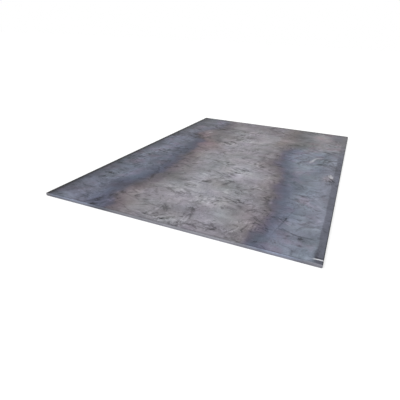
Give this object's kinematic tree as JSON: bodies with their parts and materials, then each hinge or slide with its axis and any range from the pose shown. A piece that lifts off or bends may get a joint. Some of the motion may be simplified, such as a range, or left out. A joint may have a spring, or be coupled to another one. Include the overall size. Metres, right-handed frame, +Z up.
{
  "type": "steel plate",
  "caption": "Hot-rolled steel plate with mill scale, lying flat, with two round-nosed mill edges and two sheared ends.",
  "frame": {"origin": "middle of the underside, on the floor", "axes": "+Z up through the thickness, +Y along the length and the rolling direction, +X across the width to the right of the front sheared end, which is at -Y"},
  "size_m": [2, 3, 0.025],
  "materials": {
    "mill_scale": "blue-grey and warm grey mill scale over bare rolled steel, dull, with scuffs, scratches and temper colours"
  },
  "bodies": {
    "root": {"steel_plate": "mill_scale"}
  },
  "joints": []
}
